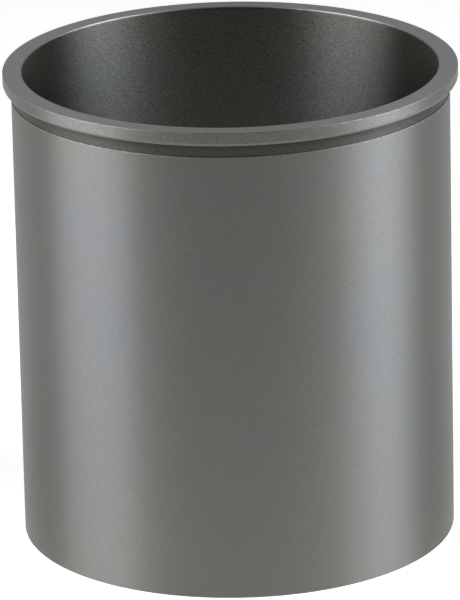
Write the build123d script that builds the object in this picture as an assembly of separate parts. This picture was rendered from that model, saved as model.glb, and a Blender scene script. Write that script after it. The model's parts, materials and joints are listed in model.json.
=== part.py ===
from build123d import *
import os

# Dry cylinder liner with a top flange: a thin-walled sleeve of centrifugally cast grey iron,
# turned all over, ground on the outside and honed in the bore. It is pressed into a bored-out
# engine block until the underside of the flange seats in the block's counterbore, and the
# cylinder head gasket then clamps on the top face.
#
# Frame: millimetres, origin on the bore axis at the bottom face, +Z up towards the flange.

# ---- driving dimensions -------------------------------------------------------------------

bore_diameter = 90.0  # honed running surface for the piston
wall = 2.5  # thickness of the ground body
overall_length = 105.0  # bottom face to top face

flange_overhang = 1.75  # how far the flange stands out from the ground body
flange_thickness = 3.0  # top face to seat
flange_top_break = 0.1  # 45 degree break between the top face and the rim
flange_rim_radius = 0.8  # round from the rim into the seat, clear of the counterbore's corner

relief_width = 2.8  # turned groove under the flange, where the grinding wheel runs out
relief_depth = 0.2  # below the ground body
relief_root_radius = 0.1  # nose radius of the grooving tool, in both root corners
relief_edge_break = 0.1  # 45 degree break where the groove meets the ground body

mouth_lead_height = 0.4  # lead into the bore at the top, 30 degrees from the axis for the piston rings
mouth_lead_width = 0.23
skirt_bore_chamfer = 0.5  # 45 degree lead into the bore at the bottom
skirt_edge_break = 0.2  # 45 degree break around the bottom outside edge

# ---- sizes that follow --------------------------------------------------------------------

bore_radius = bore_diameter / 2
body_radius = bore_radius + wall
relief_radius = body_radius - relief_depth
rim_radius = body_radius + flange_overhang

seat_z = overall_length - flange_thickness
relief_bottom_z = seat_z - relief_width
relief_ledge = relief_depth - relief_edge_break  # flat left at the groove's foot, inside its edge break

# ---- half section of the wall, drawn as radius and height ---------------------------------

corners = {
    "skirt_bore": (bore_radius, 0),
    "skirt_edge": (body_radius, 0),
    "relief_edge": (body_radius, relief_bottom_z),
    "relief_root_low": (relief_radius, relief_bottom_z),
    "relief_root_high": (relief_radius, seat_z),
    "rim_low": (rim_radius, seat_z),
    "rim_high": (rim_radius, overall_length),
    "mouth_top": (bore_radius + mouth_lead_width, overall_length),
    "mouth_low": (bore_radius, overall_length - mouth_lead_height),
}
section = make_face(Polyline(*corners.values(), close=True))


def corner(name):
    """The section's vertex at the named corner, which the edge treatments have not reached yet."""
    return section.vertices().sort_by_distance(corners[name])[0]


section = chamfer(corner("skirt_bore"), skirt_bore_chamfer)
section = chamfer(corner("skirt_edge"), skirt_edge_break)
section = fillet(corner("relief_root_low"), min(relief_root_radius, relief_ledge))
section = chamfer(corner("relief_edge"), relief_edge_break)  # comes second, as it can reach the root
section = fillet(corner("relief_root_high"), relief_root_radius)
section = fillet(corner("rim_low"), flange_rim_radius)
section = chamfer(corner("rim_high"), flange_top_break)

# ---- the liner: that section turned once round the bore axis ------------------------------

liner = revolve(Plane.XZ * section, Axis.Z)
liner.label = "liner"

os.makedirs("parts", exist_ok=True)
export_step(liner, "parts/liner.step")
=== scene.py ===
import json
import math

import bpy
import numpy as np
from mathutils import Matrix, Vector


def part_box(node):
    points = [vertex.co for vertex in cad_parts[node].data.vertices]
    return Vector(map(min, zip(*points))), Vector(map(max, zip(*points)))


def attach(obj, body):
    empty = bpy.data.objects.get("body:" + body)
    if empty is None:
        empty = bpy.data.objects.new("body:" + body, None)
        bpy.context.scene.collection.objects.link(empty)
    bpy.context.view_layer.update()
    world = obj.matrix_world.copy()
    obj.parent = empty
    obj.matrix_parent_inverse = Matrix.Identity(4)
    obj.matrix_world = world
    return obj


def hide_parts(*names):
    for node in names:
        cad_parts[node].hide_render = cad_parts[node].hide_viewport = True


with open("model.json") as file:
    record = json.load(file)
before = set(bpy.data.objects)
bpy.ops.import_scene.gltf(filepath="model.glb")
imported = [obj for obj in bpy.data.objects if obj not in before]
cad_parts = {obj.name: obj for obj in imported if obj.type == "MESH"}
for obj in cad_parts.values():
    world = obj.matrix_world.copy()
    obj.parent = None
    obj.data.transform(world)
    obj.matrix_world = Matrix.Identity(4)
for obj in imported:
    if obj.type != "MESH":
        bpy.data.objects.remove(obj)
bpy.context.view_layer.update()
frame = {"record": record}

# ==== Liner: the turned blank ===============================================================
# The liner is one centrifugally cast sleeve of grey iron. It is turned to shape all over in
# one chucking, so every surface is a circle round the bore axis, and its sharp corners are
# broken with a tool or a stone.

MM = 0.001

mounts = {mount["name"]: mount for mount in frame["record"]["mounts"]}
bore_radius = mounts["bore"]["dims"]["r_mm"] * MM
body_radius = mounts["block_bore"]["dims"]["r_mm"] * MM
rim_radius = mounts["counterbore_rim"]["dims"]["r_mm"] * MM
top_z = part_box("liner")[1].z
seat_z = mounts["flange_seat"]["pos_m"][2]

flange_top_break = 0.1 * MM
flange_rim_radius = 0.8 * MM
relief_width = 2.8 * MM
relief_depth = 0.2 * MM
relief_root_radius = 0.1 * MM
relief_edge_break = 0.1 * MM
mouth_lead_height = 0.4 * MM
mouth_lead_width = 0.23 * MM
skirt_bore_chamfer = 0.5 * MM
skirt_edge_break = 0.2 * MM
stoned_corner = 0.03 * MM  # what a slip stone leaves on a corner that is called sharp
worn_break = 0.07 * MM  # the two outer breaks are rubbed round from side to side
honed_blend = 0.22 * MM  # the hone rounds the foot of the mouth's lead into the bore

relief_radius = body_radius - relief_depth
relief_low_z = seat_z - relief_width

steps_round = 480
steps_per_corner = 7

# Radius, height and rounding of each corner of the wall's section, and the finish of the
# side that starts there: out along the bottom, up the outside, in over the top, down the bore.
section = [
    (bore_radius, skirt_bore_chamfer, stoned_corner, "edge"),
    (bore_radius + skirt_bore_chamfer, 0.0, stoned_corner, "face"),
    (body_radius - skirt_edge_break, 0.0, stoned_corner, "edge"),
    (body_radius, skirt_edge_break, stoned_corner, "body"),
    (body_radius, relief_low_z - relief_edge_break, worn_break, "break"),
    (body_radius - relief_edge_break, relief_low_z, stoned_corner, "relief"),
    (relief_radius, relief_low_z, relief_root_radius, "relief"),
    (relief_radius, seat_z, relief_root_radius, "face"),
    (rim_radius, seat_z, flange_rim_radius, "rim"),
    (rim_radius, top_z - flange_top_break, worn_break, "break"),
    (rim_radius - flange_top_break, top_z, worn_break, "face"),
    (bore_radius + mouth_lead_width, top_z, stoned_corner, "edge"),
    (bore_radius, top_z - mouth_lead_height, honed_blend, "bore"),
]


def round_corners(corners, reach):
    """Points and directions along a closed section whose corners are rounded.

    Round each corner the section is a quarter of an ellipse, tangent to both sides there:
    corner + (1 - sin t) * towards the side before + (1 - cos t) * towards the side after,
    for t from 0 to 90 degrees, with both of those vectors as long as the corner's reach.
    On a square corner that is an arc of that radius.
    """
    t = np.linspace(0.0, math.pi / 2, steps_per_corner)[None, :, None]
    before = np.roll(corners, 1, axis=0) - corners
    after = np.roll(corners, -1, axis=0) - corners
    before *= (reach / np.linalg.norm(before, axis=1))[:, None]
    after *= (reach / np.linalg.norm(after, axis=1))[:, None]
    before, after = before[:, None], after[:, None]
    points = corners[:, None] + (1 - np.sin(t)) * before + (1 - np.cos(t)) * after
    along = np.sin(t) * after - np.cos(t) * before
    along /= np.linalg.norm(along, axis=2, keepdims=True)
    return points.reshape(-1, 2), along.reshape(-1, 2)


def turned_solid(name, corners, reach, finishes):
    """A mesh of the section turned once round the Z axis.

    The point at angle a and section point (r, z) is (r cos a, r sin a, z). Its normal is the
    section's direction (dr, dz) turned outwards, (dz cos a, dz sin a, -dr). The grid closes on
    itself both ways. UV is in millimetres: u runs round the axis at the section's own mean
    radius, and v runs along the section. `finishes` gives each corner's material number.
    """
    profile, along = round_corners(corners, reach)
    rows = len(profile)
    angle = np.linspace(0.0, 2 * math.pi, steps_round + 1)
    turn = np.stack([np.cos(angle), np.sin(angle)], axis=-1)[:-1, None, :]

    points = np.empty((steps_round, rows, 3))
    points[..., :2] = turn * profile[None, :, :1]
    points[..., 2] = profile[None, :, 1]
    normals = np.empty_like(points)
    normals[..., :2] = turn * along[None, :, 1:]
    normals[..., 2] = -along[None, :, 0]

    i, j = np.meshgrid(np.arange(steps_round), np.arange(rows), indexing="ij")
    here = i * rows
    ahead = ((i + 1) % steps_round) * rows
    j_next = (j + 1) % rows
    quads = np.stack([here + j, ahead + j, ahead + j_next, here + j_next], axis=-1)

    mesh = bpy.data.meshes.new(name)
    mesh.from_pydata(points.reshape(-1, 3), [], quads.reshape(-1, 4))
    mesh.shade_smooth()
    mesh.normals_split_custom_set_from_vertices(normals.reshape(-1, 3))

    steps = np.linalg.norm(np.roll(profile, -1, axis=0) - profile, axis=1)
    v = np.concatenate([[0.0], np.cumsum(steps)]) / MM
    u = angle * profile[:, 0].mean() / MM
    uv = np.stack([
        np.stack([u[i], v[j]], axis=-1),
        np.stack([u[i + 1], v[j]], axis=-1),
        np.stack([u[i + 1], v[j + 1]], axis=-1),
        np.stack([u[i], v[j + 1]], axis=-1),
    ], axis=2)
    mesh.uv_layers.new(name="lay_mm").data.foreach_set("uv", uv.ravel())
    material_of_row = np.repeat(finishes, steps_per_corner)
    mesh.polygons.foreach_set("material_index", np.tile(material_of_row, steps_round))
    mesh.update()
    return bpy.data.objects.new(name, mesh)


# The liner's material slots, in the order that the finishes are made below.
finish_order = ["body", "relief", "rim", "break", "edge", "face", "bore"]

liner = turned_solid(
    "cylinder_liner",
    np.array([corner[:2] for corner in section]),
    np.array([corner[2] for corner in section]),
    np.array([finish_order.index(corner[3]) for corner in section]),
)
bpy.context.scene.collection.objects.link(liner)
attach(liner, "root")
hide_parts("liner")


# ---- Finishes ----
# All of it is the same grey iron. What differs is the last tool that touched each surface, and
# so how rough it is and which way its marks run. Marks that run round the axis spread a
# reflection across themselves, up and down a wall and in and out on a face.


def linear(hex_colour):
    """An sRGB hex colour such as "7c7c7a" as linear red, green, blue and alpha."""
    srgb = np.array([int(hex_colour[k:k + 2], 16) / 255 for k in (0, 2, 4)])
    value = np.where(srgb <= 0.04045, srgb / 12.92, ((srgb + 0.055) / 1.055) ** 2.4)
    return (*value, 1.0)


def add(tree, kind, settings=None, feeds=None):
    """Adds one shader node.

    `settings` are its properties, and `feeds` gives each input named there a value or a socket.
    """
    node = tree.nodes.new("ShaderNode" + kind)
    for name, value in (settings or {}).items():
        setattr(node, name, value)
    for name, value in (feeds or {}).items():
        if isinstance(value, bpy.types.NodeSocket):
            tree.links.new(value, node.inputs[name])
        else:
            node.inputs[name].default_value = value
    return node


def tool_marks(tree, length_mm, pitch_mm):
    """Noise from 0 to 1 drawn out into marks round the axis.

    The marks are length_mm long and pitch_mm apart across their length. The noise is read at
    (x / length, y / length, v / pitch), with v the distance along the section, so the marks
    close on themselves.
    """
    lowest, highest = 0.3, 0.7  # the noise seldom leaves this range
    place_xyz = add(tree, "SeparateXYZ", feeds={"Vector": add(tree, "TexCoord").outputs["Object"]})
    lay = add(tree, "UVMap", {"uv_map": "lay_mm"}).outputs["UV"]
    lay_xyz = add(tree, "SeparateXYZ", feeds={"Vector": lay})
    joined = add(tree, "CombineXYZ", feeds={
        "X": place_xyz.outputs["X"], "Y": place_xyz.outputs["Y"], "Z": lay_xyz.outputs["Y"]})
    drawn_out = add(tree, "Mapping", {"vector_type": "TEXTURE"}, {
        "Vector": joined.outputs["Vector"], "Scale": (length_mm * MM, length_mm * MM, pitch_mm)})
    noise = add(tree, "TexNoise", feeds={
        "Vector": drawn_out.outputs["Vector"], "Scale": 1.0, "Detail": 2.0})
    return add(tree, "MapRange", feeds={
        "Value": noise.outputs["Fac"], "From Min": lowest, "From Max": highest}).outputs["Result"]


film_colours = ("fcfaf3", "f8fbff")  # straw and blue
film_patch = 22 * MM
film_edge = (0.35, 0.65)  # a patch ends softly, between these levels of its noise
straw_below_seat = 9 * MM  # the blue fades out over this height under the flange
straw_foot = 10 * MM  # up to here only blue_at_foot of it is left
blue_from = 60 * MM  # and from here up it is whole
blue_at_foot = 0.35

painted_shade_whole = 0.6 * MM  # from the seat down to here the painted shade under the flange is at its darkest
painted_shade_end = 1.8 * MM  # and here there is none


def machined_iron(name, marks_mm, colours, roughness, anisotropy, depth_mm=0.0, painted_flange_shade=1.0):
    """Bare grey iron whose marks, (length, pitch), carry its colour and roughness between two ends.

    A film of oil too thin to see as such tints it in soft patches, from straw to blue. It is
    all straw on the flange, and mostly so towards the foot. `depth_mm` is how deep the marks
    are. The last argument is a painted shade: how dark the iron is painted right under the
    flange, where the flange shades it.
    A colour mix takes its share at input 0 and its colours at 6 and 7, and gives its result at
    output 2.
    """
    material = bpy.data.materials.new(name)
    material.use_nodes = True
    tree = material.node_tree
    tree.nodes.clear()
    place = add(tree, "TexCoord").outputs["Object"]
    height = add(tree, "SeparateXYZ", feeds={"Vector": place}).outputs["Z"]
    marks = tool_marks(tree, *marks_mm)
    iron = add(tree, "Mix", {"data_type": "RGBA"}, {
        0: marks, 6: linear(colours[0]), 7: linear(colours[1])})

    noise = add(tree, "TexNoise", feeds={
        "Vector": place, "Scale": 1 / film_patch, "Detail": 3.0})
    patches = add(tree, "MapRange", feeds={
        "Value": noise.outputs["Fac"], "From Min": film_edge[0], "From Max": film_edge[1]})
    below_flange = add(tree, "MapRange", feeds={
        "Value": height, "From Min": seat_z - straw_below_seat, "From Max": seat_z,
        "To Min": 1.0, "To Max": 0.0})
    above_foot = add(tree, "MapRange", feeds={
        "Value": height, "From Min": straw_foot, "From Max": blue_from,
        "To Min": blue_at_foot, "To Max": 1.0})
    between = add(tree, "Math", {"operation": "MULTIPLY"}, {
        0: below_flange.outputs["Result"], 1: above_foot.outputs["Result"]})
    blue = add(tree, "Math", {"operation": "MULTIPLY"}, {
        0: patches.outputs["Result"], 1: between.outputs["Value"]})
    film = add(tree, "Mix", {"data_type": "RGBA"}, {
        0: blue.outputs["Value"], 6: linear(film_colours[0]), 7: linear(film_colours[1])})
    colour = add(tree, "Mix", {"data_type": "RGBA", "blend_type": "MULTIPLY"}, {
        0: 1.0, 6: iron.outputs[2], 7: film.outputs[2]}).outputs[2]
    # Painted shade: right under the flange the colour is darkened, standing in for the flange's
    # shadow on the groove.
    if painted_flange_shade < 1.0:
        painted_shade_under_flange = add(tree, "MapRange", feeds={
            "Value": height, "From Min": seat_z - painted_shade_end, "From Max": seat_z - painted_shade_whole,
            "To Min": 1.0, "To Max": painted_flange_shade})
        colour = add(tree, "VectorMath", {"operation": "SCALE"}, {
            0: colour, "Scale": painted_shade_under_flange.outputs["Result"]}).outputs["Vector"]

    rough = add(tree, "MapRange", feeds={
        "Value": marks, "To Min": roughness[0], "To Max": roughness[1]})
    round_axis = add(tree, "VectorMath", {"operation": "CROSS_PRODUCT"}, {
        0: (0.0, 0.0, 1.0), 1: place})
    feeds = {
        "Base Color": colour,
        "Metallic": 1.0,
        "Roughness": rough.outputs["Result"],
        "Anisotropic": anisotropy,
        "Anisotropic Rotation": 0.25,  # a quarter turn: the spread is across the marks
        "Tangent": round_axis.outputs["Vector"],
    }
    if depth_mm:
        bump = add(tree, "Bump", feeds={"Height": marks, "Distance": depth_mm * MM, "Strength": 1.0})
        feeds["Normal"] = bump.outputs["Normal"]
    shader = add(tree, "BsdfPrincipled", feeds=feeds)
    add(tree, "OutputMaterial", feeds={"Surface": shader.outputs["BSDF"]})
    return material


finishes = {
    # Centreless-ground: an even satin grey. The grinding marks are short, and drawn two to
    # three times as coarse as they are, at low contrast, because singly they don't show.
    "body": machined_iron(
        "centreless_ground_iron", marks_mm=(1.0, 0.25), colours=("797875", "858481"),
        roughness=(0.48, 0.53), anisotropy=0.90),
    # Plunge-cut and never ground, so it is open-grained, dull and dark.
    # Right under the flange its colour is also darkened with painted shade for the flange's shadow.
    "relief": machined_iron(
        "rough_turned_iron", marks_mm=(0.3, 0.2), colours=("444441", "656562"),
        roughness=(0.50, 0.56), anisotropy=0.82, depth_mm=0.002, painted_flange_shade=0.74),
    # Finish-turned: a gritty satin.
    "rim": machined_iron(
        "finish_turned_iron", marks_mm=(0.22, 0.18), colours=("666563", "8f8e8c"),
        roughness=(0.46, 0.52), anisotropy=0.86, depth_mm=0.002),
    # Corners broken with a stone glint in short dashes.
    "break": machined_iron(
        "stoned_iron", marks_mm=(0.7, 0.1), colours=("60605e", "b2b2b0"),
        roughness=(0.42, 0.50), anisotropy=0.1),
    # The leads into the bore and the break round the foot are cut last: smoother and brighter
    # than what they join, with a fine broken sparkle.
    "edge": machined_iron(
        "chamfered_iron", marks_mm=(1.3, 0.1), colours=("8b8b88", "bebebb"),
        roughness=(0.36, 0.42), anisotropy=0.22),
    # Faced on the lathe and lapped: fine rings, evenly satin.
    "face": machined_iron(
        "faced_and_lapped_iron", marks_mm=(10.0, 0.25), colours=("a7abb0", "adb1b6"),
        roughness=(0.38, 0.42), anisotropy=0.6),
    # Honed: a dull satin with a fine glitter. A hone's scratches are about 0.05 mm apart and
    # 0.005 mm deep. They are drawn four times as far apart and as deep, so that they show.
    "bore": machined_iron(
        "honed_iron", marks_mm=(0.7, 0.22), colours=("666561", "8a8983"),
        roughness=(0.42, 0.56), anisotropy=0.90, depth_mm=0.02),
}
for finish in finish_order:
    liner.data.materials.append(finishes[finish])


# ==== Stage =================================================================================
# A sheet of matt white paper under the liner, and a pale painted screen far behind it. Where
# the lamps leave the paper a little grey it is lifted to white, for the camera and for the
# reflections alike, and the liner's soft shadow stays on it. On top of that, pools of painted
# light glow on the paper for the camera and in the liner's reflections: they fall off towards
# the front, and are brighter just in front of the foot and behind each side's boxes.


def stage_sheet(name, corners, material):
    """A flat four-sided sheet that belongs to the studio."""
    mesh = bpy.data.meshes.new(name)
    mesh.from_pydata(corners, [], [(0, 1, 2, 3)])
    mesh.materials.append(material)
    sheet = bpy.data.objects.new(name, mesh)
    bpy.context.scene.collection.objects.link(sheet)


def studio_white(name, colour, lift, pools=()):
    """Matt paper with a lift that only camera, glossy and transmission rays see.

    Each of the pools (centre, near, far, more) is a pool of painted light that lifts the paper
    further: by `more` out to the distance `near` from its centre, and by less and less from
    there to `far`.
    """
    material = bpy.data.materials.new(name)
    material.use_nodes = True
    tree = material.node_tree
    tree.nodes.clear()
    rays = add(tree, "LightPath").outputs
    seen = add(tree, "Math", {"operation": "MAXIMUM"}, {
        0: rays["Is Camera Ray"], 1: rays["Is Glossy Ray"]})
    seen = add(tree, "Math", {"operation": "MAXIMUM"}, {
        0: seen.outputs["Value"], 1: rays["Is Transmission Ray"]})
    place = add(tree, "TexCoord").outputs["Object"]
    level = lift
    for centre, near, far, more in pools:
        away = add(tree, "VectorMath", {"operation": "DISTANCE"}, {0: place, 1: centre})
        pool = add(tree, "MapRange", {"interpolation_type": "SMOOTHSTEP"}, {
            "Value": away.outputs["Value"], "From Min": near, "From Max": far,
            "To Min": more, "To Max": 0.0})
        level = add(tree, "Math", {"operation": "ADD"}, {
            0: level, 1: pool.outputs["Result"]}).outputs["Value"]
    strength = add(tree, "Math", {"operation": "MULTIPLY"}, {0: seen.outputs["Value"], 1: level})
    matt = add(tree, "BsdfDiffuse", feeds={"Color": linear(colour)})
    glow = add(tree, "Emission", feeds={"Strength": strength.outputs["Value"]})
    both = add(tree, "AddShader", feeds={0: matt.outputs["BSDF"], 1: glow.outputs["Emission"]})
    add(tree, "OutputMaterial", feeds={"Surface": both.outputs["Shader"]})
    return material


paper_half = 2.5
painted_light_pools = [
    ((0.0, 0.9, 0.0), 1.4, 2.1, 0.585),  # painted light all round, falling off towards the front
    ((0.0, -0.07, 0.0), 0.03, 0.12, 0.32),  # a painted pool of light just in front of the foot
    ((-6.0, 0.0, 0.0), 5.45, 5.65, 0.25),  # painted light behind the left boxes, where their light doesn't fall
    ((6.0, 0.0, 0.0), 5.45, 5.65, 0.25),  # and on the right
]
stage_sheet(
    "floor",
    [(-paper_half, -paper_half, 0.0), (paper_half, -paper_half, 0.0),
     (paper_half, paper_half, 0.0), (-paper_half, paper_half, 0.0)],
    studio_white("matt_paper", "fcfaf2", 0.0, painted_light_pools),
)

screen_half = 3.2
screen_y = 2.7
screen_height = 4.0
screen_lift = 0.36
stage_sheet(
    "screen",
    [(-screen_half, screen_y, 0.0), (screen_half, screen_y, 0.0),
     (screen_half, screen_y, screen_height), (-screen_half, screen_y, screen_height)],
    studio_white("painted_screen", "b4b4b2", screen_lift),
)


# ==== Lamps =================================================================================
# Tall soft boxes at each side, much weaker ones towards the front and the back to fill, and a
# dim even room round them.

gap_under_box = 0.005


def soft_box(name, azimuth, distance, width, height, radiance, colour):
    """An upright area lamp just above the floor that faces the axis.

    Its azimuth is in degrees, to the right of the front.
    """
    a = math.radians(azimuth)
    outwards = Vector((math.sin(a), -math.cos(a), 0.0))
    lamp = bpy.data.lights.new(name, "AREA")
    lamp.shape = "RECTANGLE"
    lamp.size = width
    lamp.size_y = height
    lamp.energy = radiance * math.pi * width * height
    lamp.color = linear(colour)[:3]
    holder = bpy.data.objects.new(name, lamp)
    holder.location = outwards * distance + Vector((0.0, 0.0, height / 2 + gap_under_box))
    holder.rotation_mode = "QUATERNION"
    holder.rotation_quaternion = outwards.to_track_quat("Z", "Y")
    holder.visible_camera = False
    bpy.context.scene.collection.objects.link(holder)


# Each side's box is brighter in its middle, so a narrower lamp stands in front of a wide one.
# Name, azimuth, distance, width, height, radiance and colour of each:
soft_boxes = [
    ("left_box", -77.0, 0.60, 0.51, 1.0, 3.0, "eef3ff"),
    ("left_middle", -79.0, 0.58, 0.27, 1.0, 0.65, "f0f3ff"),
    ("left_fill", -46.0, 0.62, 0.36, 1.0, 0.12, "fdf6e6"),
    ("right_box", 80.5, 0.60, 0.50, 1.0, 2.2, "eaf1ff"),
    ("right_middle", 82.5, 0.58, 0.24, 1.0, 2.45, "eaf1ff"),
    ("right_fill", 46.0, 0.62, 0.36, 1.0, 0.27, "fdf6e6"),
    ("left_back", -118.0, 0.62, 0.4, 0.3, 0.22, "f0f3ff"),
    ("right_back", 118.0, 0.62, 0.4, 1.0, 0.1, "f0f3ff"),
]
for box in soft_boxes:
    soft_box(*box)

room_colour = "fdf6e6"
room_radiance = 0.07
world = bpy.data.worlds.new("room")
world.use_nodes = True
background = world.node_tree.nodes["Background"]
background.inputs["Color"].default_value = linear(room_colour)
background.inputs["Strength"].default_value = room_radiance
bpy.context.scene.world = world


# ==== Camera ================================================================================
# A long lens from a little above, rolled by about a degree and aimed just off the middle.

elevation = math.radians(19.037)
roll = math.radians(-1.232)
distance = 1.3133
shift_right = -0.00107
shift_up = -0.00115
lens_mm = 359.9
sensor_mm = 36.0

back = Vector((0.0, -math.cos(elevation), math.sin(elevation)))
level_right = Vector((1.0, 0.0, 0.0))
level_up = back.cross(level_right)
right = math.cos(roll) * level_right + math.sin(roll) * level_up
up = back.cross(right)
middle = Vector((0.0, 0.0, top_z / 2))
place = middle + back * distance + right * shift_right + up * shift_up

camera_data = bpy.data.cameras.new("camera")
camera_data.lens = lens_mm
camera_data.sensor_width = sensor_mm
camera = bpy.data.objects.new("camera", camera_data)
camera.matrix_world = Matrix.Translation(place) @ Matrix((right, up, back)).transposed().to_4x4()
bpy.context.scene.collection.objects.link(camera)
bpy.context.scene.camera = camera
bpy.context.scene.view_settings.view_transform = "Standard"
